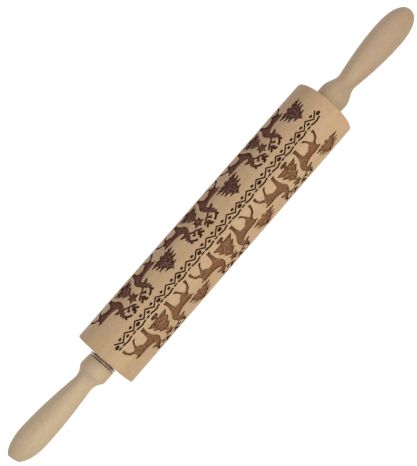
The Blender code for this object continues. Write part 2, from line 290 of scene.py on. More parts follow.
def height_in_row(place, along):
    """How far round the barrel a point lies above the nearest zigzag, or below if negative."""
    across = axis_of(place, "Y")
    turn = across.math("ARCTAN2", across, axis_of(place, "Z"))
    past_start = along.math("MAXIMUM", along - ROW_DROP_START, 0.0)
    height = row_drop(along, past_start) - turn * barrel_radius
    return height.math("WRAP", height, ROW_HEIGHT / 2, -ROW_HEIGHT / 2)


print(f"rows {ROW_HEIGHT / MM:.1f} mm high, groups every {GROUP_STEP / MM:.1f} mm")

# %% The burnt colours, with painted light and shade
# Painted light and shade: the lit-side colours hold on the -Y side, which faces the main lamp, and
# the shaded-side colours on the +Y side.
LIT_SIDE_CHAR_PALE = (0.310, 0.149, 0.072)
LIT_SIDE_CHAR_DARK = (0.124, 0.057, 0.021)
SHADED_SIDE_CHAR_PALE = (0.230, 0.093, 0.054)
SHADED_SIDE_CHAR_DARK = (0.050, 0.019, 0.010)
SHADED_SIDE_FIR_PALE = (0.176, 0.084, 0.062)
LINE_CHAR = (0.046, 0.011, 0.0)
LIT_SIDE_PLACE = -16 * MM
SHADED_SIDE_PLACE = 8 * MM
DOT_CLOUDS = (800, 900, 900)
DOT_SHARE = 0.8
MOTTLE_LIMITS = (0.40, 0.62)
DOT_CRISPNESS = 0.06
LEG_CHAR_SHARE = 0.4
ABOVE_ZIGZAG_LIMITS = (0.0, 1 * MM)
FINE_LINE_LIMITS = (4.4 * MM, 4.7 * MM)
THIN_PART_LIMITS = (6 * MM, 13 * MM)


def figure_char(place, scorch, in_fir, past_deer):
    """The burnt colour of the figures, dotted in the firs and scorched in the deer."""
    dots = noise(place, DOT_CLOUDS, detail=1.0)
    grain = scorch + DOT_SHARE * in_fir * (dots - scorch)
    dark_limit, pale_limit = MOTTLE_LIMITS
    crispness = DOT_CRISPNESS * in_fir
    mottled = between(grain, dark_limit + crispness, pale_limit - crispness)
    # Painted light and shade: the char is paler on the lit -Y side and darker on the shaded +Y
    # side.
    painted_side_light = between(axis_of(place, "Y"), LIT_SIDE_PLACE, SHADED_SIDE_PLACE)
    shaded_side_pale = mixed(in_fir * past_deer, SHADED_SIDE_CHAR_PALE, SHADED_SIDE_FIR_PALE)
    pale_char = mixed(painted_side_light, LIT_SIDE_CHAR_PALE, shaded_side_pale)
    dark_char = mixed(painted_side_light, LIT_SIDE_CHAR_DARK, SHADED_SIDE_CHAR_DARK)
    return mixed(mottled, dark_char, pale_char)


def line_mask(height, past_deer):
    """How far the char is that of a line: wholly on the zigzag, less on antlers and legs."""
    off_zigzag = height.math("ABSOLUTE", height)
    above = between(height, *ABOVE_ZIGZAG_LIMITS)
    antlers = (1 - above) * (1 - past_deer)
    near_zigzag = 1 - between(off_zigzag, *THIN_PART_LIMITS)
    thin_parts = (LEG_CHAR_SHARE * above + antlers) * near_zigzag
    fine_lines = 1 - between(off_zigzag, *FINE_LINE_LIMITS)
    return thin_parts.math("MAXIMUM", thin_parts, fine_lines)


# %% Finish of the barrel
BEECH_PALE = (0.560, 0.402, 0.230)
BEECH_DEEP = (0.470, 0.322, 0.176)
BEECH_ROSY = (0.545, 0.348, 0.222)
BARREL_BAND_WIDTH = 7 * MM
BARREL_WOOD_SHIFT = (300 * MM, 12 * MM, 21 * MM)
BARE_WOOD_GLOSS = 0.25
BARREL_ROUGHNESS = 0.52
BURN_ROUGHNESS_GAIN = 0.18
FIBRE_ROUGHNESS_GAIN = 0.08
END_WOOD = (0.42, 0.28, 0.16)
END_PORE = (0.24, 0.14, 0.07)
PORE_CLOUDS = (40, 2600, 2600)
PORE_LIMITS = (0.52, 0.68)
PORE_SHARE = 0.7
END_FACE_LIMITS = (0.05 * MM, 0.12 * MM)
BURN_DEPTH_LIMITS = (0.05 * MM, 0.3 * MM)
BURN_END_LIMITS = (2 * MM, 3 * MM)
FIR_LIMITS = (7.5 * MM, 10 * MM)
DEER_LIMITS = (15 * MM, 18 * MM)
SCORCH_CLOUDS = (900, 1500, 1500)
BARREL_BUMP = 0.12 * MM
FIBRE_BUMP_SHARE = 0.25
BARREL_FLECK_BUMP_SHARE = 0.35
SCORCH_BUMP_SHARE = 1.6


def barrel_finish():
    material, shader, place = new_finish("engraved_beech", BARREL_ROUGHNESS)
    shader.inputs["Specular IOR Level"].default_value = BARE_WOOD_GLOSS
    layers = beech_layers(place, BARREL_BAND_WIDTH, BARREL_WOOD_SHIFT)
    wood = beech_colour(layers, BEECH_PALE, BEECH_DEEP, BEECH_ROSY)
    fibres, flecks = layers[1:3]

    along = axis_of(place, "X") - barrel_middle
    from_end = barrel_half - along.math("ABSOLUTE", along)
    pores = between(noise(place, PORE_CLOUDS, detail=2.0), *PORE_LIMITS)
    end_wood = mixed(PORE_SHARE * pores, END_WOOD, END_PORE)
    bare = mixed(between(from_end, *END_FACE_LIMITS), end_wood, wood)

    flat = scaled(place, (0, 1, 1))
    radius = place.node("ShaderNodeVectorMath", {"operation": "LENGTH"}, {0: flat}, output=1)
    recessed = between(barrel_radius - radius, *BURN_DEPTH_LIMITS)
    burn = recessed * between(from_end, *BURN_END_LIMITS)

    from_group = along - MIDDLE_GROUP_PLACE
    off_fir = along.math("PINGPONG", from_group, GROUP_STEP / 4)
    off_group = along.math("PINGPONG", from_group, GROUP_STEP / 2)
    in_fir = 1 - between(off_fir, *FIR_LIMITS)
    past_deer = between(off_group, *DEER_LIMITS)
    scorch = noise(place, SCORCH_CLOUDS, detail=4.0, roughness=0.75)
    figures = figure_char(place, scorch, in_fir, past_deer)
    char = mixed(line_mask(height_in_row(place, along), past_deer), figures, LINE_CHAR)

    connect(shader, "Base Color", mixed(burn, bare, char))
    roughness = BARREL_ROUGHNESS + BURN_ROUGHNESS_GAIN * burn + FIBRE_ROUGHNESS_GAIN * fibres
    connect(shader, "Roughness", roughness)
    wood_height = FIBRE_BUMP_SHARE * fibres - BARREL_FLECK_BUMP_SHARE * flecks
    burn_height = SCORCH_BUMP_SHARE * burn * scorch
    connect(shader, "Normal", bumped((1 - burn) * wood_height + burn_height, BARREL_BUMP))
    return material


engraved_beech = barrel_finish()
print(engraved_beech.name, "has", len(engraved_beech.node_tree.nodes), "nodes")

# %% [markdown]
# ## The handles' finish
#
# The handles are turned from the same wood. They are finer sanded, a little paler, and their
# grain is calmer. Their colour also carries painted light: the right one's shaded +Y side is
# painted paler and its lit -Y side darker, which flattens the lamps' shading on it. The left
# one's lit side is painted a shade paler and its shaded side a shade darker.

# %% Finish of the handles
LEFT_WOOD = {
    "pale": (0.560, 0.443, 0.286),
    "deep": (0.492, 0.379, 0.232),
    "rosy": (0.545, 0.396, 0.276),
    "shift": (110 * MM, 17 * MM, 9 * MM),
    "painted_side_light_share": -0.04,
}
RIGHT_WOOD = {
    "pale": (0.502, 0.378, 0.244),
    "deep": (0.440, 0.321, 0.197),
    "rosy": (0.502, 0.336, 0.221),
    "shift": (470 * MM, 4 * MM, 31 * MM),
    "painted_side_light_share": 0.26,
}
HANDLE_BAND_WIDTH = 5 * MM
SANDED_WOOD_GLOSS = 0.32
PAINTED_SIDE_LIGHT_REACH = 9 * MM
HANDLE_ROUGHNESS = 0.44
HANDLE_FIBRE_ROUGHNESS_GAIN = 0.12
HANDLE_BUMP = 0.08 * MM
HANDLE_FLECK_BUMP_SHARE = 0.3


def handle_finish(name, wood):
    material, shader, place = new_finish(name, HANDLE_ROUGHNESS)
    shader.inputs["Specular IOR Level"].default_value = SANDED_WOOD_GLOSS
    layers = beech_layers(place, HANDLE_BAND_WIDTH, wood["shift"])
    fibres, flecks = layers[1:3]
    # Painted light: with a share above zero this gain paints the shaded +Y side paler and the lit
    # -Y side darker; below zero it does the reverse.
    toward_shaded_side = between(axis_of(place, "Y"), -PAINTED_SIDE_LIGHT_REACH, PAINTED_SIDE_LIGHT_REACH)
    painted_light_share = wood["painted_side_light_share"]
    painted_light_gain = 1 - painted_light_share / 2 + painted_light_share * toward_shaded_side
    even = beech_colour(layers, wood["pale"], wood["deep"], wood["rosy"])
    painted_light_colour = even.node("ShaderNodeVectorMath", {"operation": "SCALE"}, {0: even, "Scale": painted_light_gain})
    connect(shader, "Base Color", painted_light_colour)
    connect(shader, "Roughness", HANDLE_ROUGHNESS + HANDLE_FIBRE_ROUGHNESS_GAIN * fibres)
    height = FIBRE_BUMP_SHARE * fibres - HANDLE_FLECK_BUMP_SHARE * flecks
    connect(shader, "Normal", bumped(height, HANDLE_BUMP))
    return material


left_beech = handle_finish("left_handle_beech", LEFT_WOOD)
right_beech = handle_finish("right_handle_beech", RIGHT_WOOD)
print("handles:", left_beech.name, "and", right_beech.name)

# %% [markdown]
# ## Nylon, zinc and brass
#
# The small parts hardly show, but each has its own look: moulded nylon is milky with a fine
# skin, zinc plating has faint spangle and turning lines, and the brass inserts are machined.

# %% Finishes of the small parts
NYLON_PALE = (0.80, 0.68, 0.46)
NYLON_DEEP = (0.72, 0.60, 0.40)
NYLON_CLOUDS = (1800, 1800, 1800)
NYLON_ROUGHNESS = 0.34
NYLON_ROUGHNESS_GAIN = 0.14
NYLON_BUMP = 0.02 * MM
ZINC_BRIGHT = (0.54, 0.46, 0.31)
ZINC_DULL = (0.42, 0.35, 0.23)
ZINC_ROUGHNESS = 0.49
BRASS_BRIGHT = (0.72, 0.53, 0.24)
BRASS_DULL = (0.60, 0.42, 0.18)
BRASS_ROUGHNESS = 0.28
SPANGLE_CLOUDS = (700, 700, 700)
SPANGLE_LIMITS = (0.35, 0.65)
SPANGLE_ROUGHNESS_GAIN = 0.16
TURNING_LINE_CLOUDS = (9000, 300, 300)
METAL_BUMP = 0.01 * MM


def nylon_finish():
    material, shader, place = new_finish("white_nylon", NYLON_ROUGHNESS)
    skin = noise(place, NYLON_CLOUDS, detail=2.0)
    connect(shader, "Base Color", mixed(skin, NYLON_PALE, NYLON_DEEP))
    connect(shader, "Roughness", NYLON_ROUGHNESS + NYLON_ROUGHNESS_GAIN * skin)
    connect(shader, "Normal", bumped(skin, NYLON_BUMP))
    return material


def metal_finish(name, bright, dull, roughness):
    material, shader, place = new_finish(name, roughness, metallic=1.0)
    spangle = noise(place, SPANGLE_CLOUDS, detail=2.0)
    lines = noise(place, TURNING_LINE_CLOUDS, detail=1.0)
    connect(shader, "Base Color", mixed(between(spangle, *SPANGLE_LIMITS), bright, dull))
    connect(shader, "Roughness", roughness + SPANGLE_ROUGHNESS_GAIN * spangle)
    connect(shader, "Normal", bumped(lines, METAL_BUMP))
    return material


nylon = nylon_finish()
zinc = metal_finish("zinc_steel", ZINC_BRIGHT, ZINC_DULL, ZINC_ROUGHNESS)
brass = metal_finish("insert_brass", BRASS_BRIGHT, BRASS_DULL, BRASS_ROUGHNESS)
print("small parts:", nylon.name, zinc.name, brass.name)

# %% [markdown]
# ## The pattern
#
# The figures repeat in four rows round the barrel. In a row, every big fir stands in a pot
# under a star, between two deer that look back over their shoulders, and a small fir hangs
# in the sky between one group and the next. Each figure is drawn once, on its own little
# sheet. Its points are shares of its width and height, so a figure can be resized at will.

# %% The deer and its antlers
DEER_LENGTH = 25.9 * MM
DEER_HEIGHT = 21.0 * MM
DEER_TO_FIR = 7.9 * MM
ANTLER_WIDTH = 1.6 * MM

DEER_SHARES = [
    (0.09, -0.01), (0.23, -0.01), (0.23, 0.11), (0.24, 0.215), (0.255, 0.315), (0.28, 0.37),
    (0.33, 0.38), (0.46, 0.38), (0.485, 0.335), (0.535, 0.285), (0.59, 0.257), (0.597, 0.21),
    (0.583, 0.143), (0.548, 0.076), (0.50, 0.04), (0.483, -0.005), (0.56, -0.005),
    (0.59, 0.03), (0.622, 0.088), (0.66, 0.167), (0.695, 0.236), (0.715, 0.285), (0.75, 0.28),
    (0.807, 0.248), (0.857, 0.205), (0.89, 0.148), (0.903, 0.086), (0.892, -0.005),
    (0.977, -0.005), (0.987, 0.052), (0.97, 0.124), (0.938, 0.21), (0.90, 0.29), (0.85, 0.32),
    (0.805, 0.357), (0.78, 0.41), (0.776, 0.467), (0.795, 0.515), (0.87, 0.552), (0.853, 0.59),
    (0.80, 0.60), (0.734, 0.624), (0.60, 0.626), (0.487, 0.62), (0.37, 0.638), (0.282, 0.676),
    (0.212, 0.707), (0.18, 0.738), (0.183, 0.78), (0.212, 0.807), (0.274, 0.795),
    (0.344, 0.786), (0.365, 0.82), (0.347, 0.857), (0.30, 0.902), (0.26, 0.933), (0.24, 0.98),
    (0.216, 1.01), (0.158, 1.01), (0.073, 0.995), (0.03, 0.967), (0.05, 0.92), (0.054, 0.886),
    (0.023, 0.824), (-0.004, 0.752), (-0.015, 0.676), (-0.014, 0.61), (0.004, 0.543),
    (0.04, 0.476), (0.077, 0.41), (0.097, 0.343), (0.116, 0.238), (0.127, 0.133), (0.12, 0.062),
]
ANTLER_SHARES = [
    [(0.197, 0.98), (0.21, 1.05), (0.214, 1.115), (0.208, 1.167), (0.187, 1.21),
     (0.15, 1.243), (0.108, 1.28), (0.066, 1.295), (0.042, 1.28)],
    [(0.212, 1.157), (0.236, 1.205), (0.241, 1.276)],
    [(0.212, 1.086), (0.25, 1.11), (0.293, 1.124)],
    [(0.205, 0.995), (0.25, 1.01), (0.293, 1.033)],
    [(0.158, 0.99), (0.15, 1.076)],
    [(0.073, 0.952), (0.035, 0.98), (0.0, 1.014), (-0.04, 1.036), (-0.077, 1.048),
     (-0.112, 1.067), (-0.15, 1.098), (-0.197, 1.133), (-0.247, 1.176)],
    [(-0.035, 1.043), (-0.008, 1.09), (0.027, 1.112), (0.081, 1.11)],
    [(0.015, 1.11), (0.046, 1.17)],
    [(-0.147, 1.095), (-0.143, 1.152), (-0.143, 1.21), (-0.116, 1.248), (-0.097, 1.286),
     (-0.10, 1.338)],
    [(-0.143, 1.205), (-0.18, 1.243), (-0.216, 1.267), (-0.243, 1.30)],
    [(-0.10, 1.295), (-0.066, 1.314), (-0.012, 1.314)],
    [(-0.143, 1.152), (-0.104, 1.162), (-0.077, 1.186), (-0.066, 1.22), (-0.089, 1.267)],
]

# %% The firs
FIR_HALF_WIDTH = 9.9 * MM
FIR_HEIGHT = 23.1 * MM
FIR_HALF_SHARES = [
    (0.00, 1.00), (0.12, 0.92), (0.505, 0.90), (0.28, 0.812), (0.364, 0.693), (0.07, 0.723),
    (0.13, 0.656), (0.293, 0.597), (0.566, 0.509), (0.394, 0.476), (0.545, 0.416),
    (0.808, 0.312), (0.606, 0.277), (0.737, 0.225), (1.00, 0.121), (0.141, 0.119),
    (0.141, 0.069), (0.338, 0.067), (0.273, -0.022),
]

SMALL_FIR_HALF_WIDTH = 11.2 * MM
SMALL_FIR_HEIGHT = 15.8 * MM
SMALL_FIR_LIFT = 13.0 * MM
SMALL_FIR_HALF_SHARES = [
    (0.00, 1.00), (0.045, 0.93), (0.116, 0.877), (0.214, 0.826), (0.348, 0.797),
    (0.518, 0.785), (0.50, 0.735), (0.36, 0.715), (0.285, 0.69), (0.375, 0.652),
    (0.482, 0.614), (0.607, 0.597), (0.786, 0.592), (0.75, 0.52), (0.61, 0.505),
    (0.51, 0.475), (0.58, 0.453), (0.688, 0.427), (0.884, 0.396), (0.84, 0.33),
    (0.70, 0.335), (0.60, 0.33), (0.54, 0.31), (0.616, 0.28), (0.741, 0.24),
    (0.884, 0.213), (1.00, 0.175), (0.93, 0.122), (0.78, 0.137), (0.72, 0.125),
    (0.77, 0.035), (0.64, 0.10), (0.518, 0.09), (0.393, 0.04), (0.241, 0.11),
    (0.143, 0.108), (0.125, 0.025), (0.00, 0.00),
]

# %% [markdown]
# A drawn line, such as an antler or the zigzag, has a width. Its outline runs down one side
# of the line and back up the other, at right angles to the way the line goes at each point.

# %% Outlines
def stretched(shares, width, height):
    return [(across * width, up * height) for across, up in shares]


def moved(outline, across, up):
    return [(x + across, y + up) for x, y in outline]


def mirrored(outline):
    return [(-x, y) for x, y in outline]


def both_halves(half):
    """A whole outline from the half of it to the right of its middle line."""
    return half + [(-x, y) for x, y in reversed(half) if x > 0]


def drawn_line(points, width):
    """The outline of a line of this width through the points, mitred at its corners."""
    corners = [Vector(point) for point in points]
    ways = [(end - start).normalized() for start, end in zip(corners, corners[1:])]
    one_side = []
    other_side = []
    for corner, arriving, leaving in zip(corners, ways[:1] + ways, ways + ways[-1:]):
        ahead = (arriving + leaving).normalized()
        reach = ahead / ahead.dot(leaving) * width / 2
        one_side.append((corner.x - reach.y, corner.y + reach.x))
        other_side.append((corner.x + reach.y, corner.y - reach.x))
    return one_side + other_side[::-1]


OVAL_POINTS = 14


def oval(width, height):
    turns = [2 * math.pi * index / OVAL_POINTS for index in range(OVAL_POINTS)]
    return [(width / 2 * math.cos(turn), height / 2 * math.sin(turn)) for turn in turns]


# %% [markdown]
# ## One row of figures
#
# The feet of the deer stand a little above the zigzag's centre line. The groups keep the step
# that the finish uses too, and the zigzag below them has its own. A large oval sits over every
# second valley of the zigzag, a small one over the others and under each peak, and a line of
# long and short dashes runs between the zigzag and the feet.

# %% Layout of a row
FEET_LIFT = 5.9 * MM
GROUP_PLACES = [MIDDLE_GROUP_PLACE + number * GROUP_STEP for number in (-1, 0, 1)]
SMALL_FIR_STEP = 34.6 * MM

ZIGZAG_STEP = 10.90 * MM
ZIGZAG_VALLEYS = 21
ZIGZAG_HALF_HEIGHT = 1.8 * MM
ZIGZAG_LINE = 1.1 * MM
UPPER_OVAL_LIFT = 1.15 * MM
LOWER_OVAL_LIFT = -1.2 * MM
LARGE_OVAL = (4.0 * MM, 2.5 * MM)
SMALL_OVAL = (2.9 * MM, 1.8 * MM)

DASH_STEP = 14.6 * MM
DASH_PAIRS = 15
DASH_LIFT = 3.3 * MM
DASH_RISE = 0.65 * MM
DASH_LINE = 1.2 * MM
DASH_SHARES = [(-1, 0), (-0.5, 0.35), (-0.25, 0.85), (0.3, 1), (0.55, 0.35), (1, 0.1)]
LONG_DASH = 9.4 * MM
SHORT_DASH = 4.0 * MM
FIRST_LONG_DASH = -100.8 * MM
SHORT_DASH_STEP = 7.2 * MM


def group_figures(place):
    """The closed outlines of one group: two deer, the potted fir with its star, a small fir."""
    deer = moved(stretched(DEER_SHARES, DEER_LENGTH, DEER_HEIGHT), DEER_TO_FIR, 0)
    fir = both_halves(stretched(FIR_HALF_SHARES, FIR_HALF_WIDTH, FIR_HEIGHT))
    small = both_halves(
        stretched(SMALL_FIR_HALF_SHARES, SMALL_FIR_HALF_WIDTH, SMALL_FIR_HEIGHT)
    )
    small = moved(small, SMALL_FIR_STEP, SMALL_FIR_LIFT)
    figures = [deer, mirrored(deer), fir, small]
    return [moved(figure, place, FEET_LIFT) for figure in figures]


def group_antlers(place):
    antlers = []
    for shares in ANTLER_SHARES:
        line = moved(stretched(shares, DEER_LENGTH, DEER_HEIGHT), DEER_TO_FIR, 0)
        outline = drawn_line(line, ANTLER_WIDTH)
        antlers += [outline, mirrored(outline)]
    return [moved(antler, place, FEET_LIFT) for antler in antlers]


def zigzag_figures():
    start = -ZIGZAG_STEP * (ZIGZAG_VALLEYS - 1) / 2
    line = []
    figures = []
    for valley in range(ZIGZAG_VALLEYS):
        place = start + valley * ZIGZAG_STEP
        size = SMALL_OVAL if valley % 2 else LARGE_OVAL
        figures.append(moved(oval(*size), place, UPPER_OVAL_LIFT))
        line.append((place, -ZIGZAG_HALF_HEIGHT))
        if valley < ZIGZAG_VALLEYS - 1:
            peak = place + ZIGZAG_STEP / 2
            line.append((peak, ZIGZAG_HALF_HEIGHT))
            figures.append(moved(oval(*SMALL_OVAL), peak, LOWER_OVAL_LIFT))
    return figures + [drawn_line(line, ZIGZAG_LINE)]


def dash_figures():
    figures = []
    for pair in range(DASH_PAIRS):
        middle = FIRST_LONG_DASH + pair * DASH_STEP
        arch = moved(stretched(DASH_SHARES, LONG_DASH / 2, DASH_RISE), middle, DASH_LIFT)
        short = moved(oval(SHORT_DASH, DASH_LINE), middle - SHORT_DASH_STEP, DASH_LIFT)
        figures += [drawn_line(arch, DASH_LINE), short]
    return figures


row_figures = zigzag_figures() + dash_figures()
row_antlers = []
for place in GROUP_PLACES:
    row_figures += group_figures(place)
    row_antlers += group_antlers(place)
print(len(row_figures), "figures and", len(row_antlers), "antler lines in a row")

# %% [markdown]
# ## Cutting a row
#
# Engraving a round barrel is easiest while it is still flat. A quarter of the barrel's skin
# is laid out as a slab, with the place along the axle as X and the way round as Y. The
# figures are raised into prisms and cut from the slab in one Boolean, and the antlers, which
# overlap the heads, in a second one. Their floor lies a hair higher, so that it never falls
# together with a floor that is already there.

# %% Prisms from outlines
SLAB_THICKNESS = 4.0 * MM
CUT_OVERRUN = 1.0 * MM
ANTLER_FLOOR_STEP = 0.05 * MM
ROW_START = -4.0 * MM
EDGE_ROUND = 1.1 * MM


def mesh_object(name, shape):
    """A new object with this bmesh as its mesh."""
    mesh = bpy.data.meshes.new(name)
    shape.to_mesh(mesh)
    shape.free()
    made = bpy.data.objects.new(name, mesh)
    bpy.context.scene.collection.objects.link(made)
    return made


def prisms(name, outlines, depth):
    """Every outline as a prism from above the slab down to this depth."""
    shape = bmesh.new()
    for outline in outlines:
        shape.faces.new([shape.verts.new((x, y, CUT_OVERRUN)) for x, y in outline])
    raised = bmesh.ops.extrude_face_region(shape, geom=shape.faces[:])
    lower = [part for part in raised["geom"] if isinstance(part, bmesh.types.BMVert)]
    bmesh.ops.translate(shape, verts=lower, vec=(0, 0, -CUT_OVERRUN - depth))
    bmesh.ops.recalc_face_normals(shape, faces=shape.faces)
    return mesh_object(name, shape)


def cut(piece, cutter, crosses_itself):
    """Takes the cutter out of the piece for good, and removes the cutter."""
    boolean = piece.modifiers.new("cut", "BOOLEAN")
    boolean.operation = "DIFFERENCE"
    boolean.solver = "EXACT"
    boolean.use_self = crosses_itself
    boolean.object = cutter
    evaluated = piece.evaluated_get(bpy.context.evaluated_depsgraph_get())
    mesh = bpy.data.meshes.new_from_object(evaluated)
    piece.modifiers.clear()
    piece.data = mesh
    bpy.data.objects.remove(cutter)


# %% Cut the flat row
skin_half = barrel_half - EDGE_ROUND
shape = bmesh.new()
bmesh.ops.create_cube(shape, size=1)
slab_size = (2 * skin_half, ROW_HEIGHT, SLAB_THICKNESS)
bmesh.ops.scale(shape, verts=shape.verts, vec=slab_size)
slab_middle = (0, ROW_START + ROW_HEIGHT / 2, -SLAB_THICKNESS / 2)
bmesh.ops.translate(shape, verts=shape.verts, vec=slab_middle)
row = mesh_object("row", shape)
cut(row, prisms("figures", row_figures, ENGRAVING_DEPTH), crosses_itself=False)
antler_depth = ENGRAVING_DEPTH - ANTLER_FLOOR_STEP
cut(row, prisms("antlers", row_antlers, antler_depth), crosses_itself=True)
print("flat row:", len(row.data.vertices), "vertices")

# %% [markdown]
# ## Bending the rows into a barrel
#
# The slab's back and edges are thrown away, so only the engraved skin stays. Planes every
# 2.5 degrees slice it, so that it can bend smoothly, and one more lets it kink where the rows
# start to drop. Then each point's Y, less the drop of the row there, becomes an angle round
# the axle, and its Z a distance from it. Four turned copies close the barrel.

# %% Bend and repeat
SLICES_PER_ROW = 36
WELD = 0.002 * MM


def engraved_skin(row):
    """The row's skin, sliced and bent round the axle line, four times over."""
    shape = bmesh.new()
    shape.from_mesh(row.data)
    bmesh.ops.remove_doubles(shape, verts=shape.verts, dist=WELD)
    unwanted = []
    for face in shape.faces:
        middle = face.calc_center_median()
        at_back = middle.z < -SLAB_THICKNESS + WELD
        at_end = abs(abs(middle.x) - skin_half) < WELD
        from_start = middle.y - ROW_START
        at_side = min(abs(from_start), abs(from_start - ROW_HEIGHT)) < WELD
        if at_back or at_end or at_side:
            unwanted.append(face)
    bmesh.ops.delete(shape, geom=unwanted, context="FACES")
    planes = [((ROW_DROP_START, 0, 0), (1, 0, 0))]
    for slice_number in range(1, SLICES_PER_ROW):
        height = ROW_START + ROW_HEIGHT * slice_number / SLICES_PER_ROW
        planes.append(((0, height, 0), (0, 1, 0)))
    for point, normal in planes:
        everything = shape.verts[:] + shape.edges[:] + shape.faces[:]
        bmesh.ops.bisect_plane(shape, geom=everything, dist=WELD, plane_co=point, plane_no=normal)
    for vertex in shape.verts:
        past_start = max(vertex.co.x - ROW_DROP_START, 0)
        turn = (vertex.co.y - row_drop(vertex.co.x, past_start)) / barrel_radius
        reach = barrel_radius + vertex.co.z
        vertex.co = (vertex.co.x, -reach * math.sin(turn), reach * math.cos(turn))
    first_row = shape.verts[:] + shape.edges[:] + shape.faces[:]
    for number in range(1, ROWS):
        copied = bmesh.ops.duplicate(shape, geom=first_row)
        vertices = [part for part in copied["geom"] if isinstance(part, bmesh.types.BMVert)]
        turned = Matrix.Rotation(2 * math.pi * number / ROWS, 3, "X")
        bmesh.ops.rotate(shape, verts=vertices, cent=(0, 0, 0), matrix=turned)
    bmesh.ops.remove_doubles(shape, verts=shape.verts, dist=WELD)
    return shape


skin = engraved_skin(row)
bpy.data.objects.remove(row)
print("skin:", len(skin.faces), "faces,", sum(e.is_boundary for e in skin.edges), "open edges")

# %% [markdown]
# ## The barrel's ends
#
# The two open rims of the skin are extruded ring by ring: round the edge, across the end
# face, down the seat of the bush and in to the bore. Bridging the last two rings makes the
# bore and closes the barrel.

# %% Ends and bore
BUSH_DIAMETER = 14.0 * MM
BUSH_LENGTH = 14.0 * MM
SEAT_GAP = 0.2 * MM
BARREL_BORE_DIAMETER = 11.0 * MM
EDGE_STEPS = 6


def ring_at(shape, rim, place, radius):
    """Extrudes the rim to a new ring at this place and radius, and returns its edges."""
    made = bmesh.ops.extrude_edge_only(shape, edges=rim)["geom"]
    edges = [part for part in made if isinstance(part, bmesh.types.BMEdge)]
    for vertex in {vertex for edge in edges for vertex in edge.verts}:
        outward = Vector((0, vertex.co.y, vertex.co.z)).normalized() * radius
        vertex.co = Vector((place, 0, 0)) + outward
    return edges


def end_profile():
    """(distance from the barrel's middle, radius) of each ring, from the skin inwards."""
    rings = []
    for step in range(1, EDGE_STEPS + 1):
        turn = math.pi / 2 * step / EDGE_STEPS
        along = skin_half + EDGE_ROUND * math.sin(turn)
        rings.append((along, barrel_radius - EDGE_ROUND * (1 - math.cos(turn))))
    seat_radius = BUSH_DIAMETER / 2 + SEAT_GAP
    seat_floor = barrel_half - BUSH_LENGTH - SEAT_GAP
    rings.append((barrel_half, seat_radius))
    rings.append((seat_floor, seat_radius))
    rings.append((seat_floor, BARREL_BORE_DIAMETER / 2))
    return rings


def closed_barrel(shape):
    last_rings = []
    for side in (-1, 1):
        rim = [e for e in shape.edges if e.is_boundary and e.verts[0].co.x * side > skin_half / 2]
        for along, radius in end_profile():
            rim = ring_at(shape, rim, side * along, radius)
        last_rings += rim
    bmesh.ops.bridge_loops(shape, edges=last_rings)
    bmesh.ops.translate(shape, verts=shape.verts, vec=(barrel_middle, 0, 0))
    bmesh.ops.recalc_face_normals(shape, faces=shape.faces)
    return shape


# %% [markdown]
# Smooth shading makes the slices look round. Edges that turn by more than 30 degrees, such
# as the rims of the engraving, stay sharp.

# %% Finish a piece
SHARP_ANGLE = math.radians(30)


def dressed(name, shape, material, body, replaced):
    """The bmesh as a finished piece, smooth but for its sharp edges."""
    piece = mesh_object(name, shape)
    piece.data.shade_smooth()
    piece.data.set_sharp_from_angle(angle=SHARP_ANGLE)
    piece.data.materials.clear()
    piece.data.materials.append(material)
    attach(piece, body)
    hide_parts(replaced)
    print(name, len(piece.data.polygons), "faces")


closed = closed_barrel(skin)
dressed("engraved_barrel", closed, engraved_beech, "barrel", "barrel")

# %% [markdown]
# ## Turned pieces
#
# Everything else is turned on a lathe, and `spin` is Blender's lathe: it sweeps a profile
# round an axis. A profile is a list of (place, radius) points. One that starts and ends on
# the axis needs no closing edge, because its poles close when doubles are merged.

# %% The lathe
ROUND_STEPS = 96


def spun(profile, place, faces_left=False):
    """A turned shape round the axle line. Its profile's places count outwards from place."""
    way = -1 if faces_left else 1
    shape = bmesh.new()
    corners = [shape.verts.new((place + way * along, 0, radius)) for along, radius in profile]
    edges = [shape.edges.new(pair) for pair in zip(corners, corners[1:])]
    on_axis = profile[0][1] == 0 and profile[-1][1] == 0
    if not on_axis:
        edges.append(shape.edges.new((corners[-1], corners[0])))
    bmesh.ops.spin(
        shape,
        geom=corners + edges,
        cent=(0, 0, 0),
        axis=(1, 0, 0),
        angle=2 * math.pi,
        steps=ROUND_STEPS,
        use_merge=True,
    )
    bmesh.ops.remove_doubles(shape, verts=shape.verts, dist=WELD)
    bmesh.ops.recalc_face_normals(shape, faces=shape.faces)
    return shape


# %% [markdown]
# ## The handles
#
# Each handle starts at a round face next to the barrel, widens a little to a shoulder, drops
# through a cove to a narrow neck, and swells again to a long oval grip with a blunt end. The
# two were turned by hand and differ: the left one has a short cove and a small flat at its
# end, and the right one's shoulder runs out in a long soft cove. Sines and cosines, eased by
# powers, draw each stretch, and a short curve rounds the shoulder, as sandpaper would.

# %% Shape of the handles
HANDLE_NECK_DIAMETER = 14.9 * MM
HANDLE_NECK_LENGTH = 1.5 * MM
HANDLE_SWELL_PLACE = 69.5 * MM
SHOULDER_ROUND = 2.2 * MM
END_ROUND = 0.7 * MM
HANDLE_TAPER_EASE_SHARE = 0.96
INSERT_DIAMETER = 12.0 * MM
INSERT_FLOOR = 13.2 * MM
AXLE_DIAMETER = 8.0 * MM
AXLE_GRIP_LENGTH = 42.0 * MM
CURVE_STEPS = 24

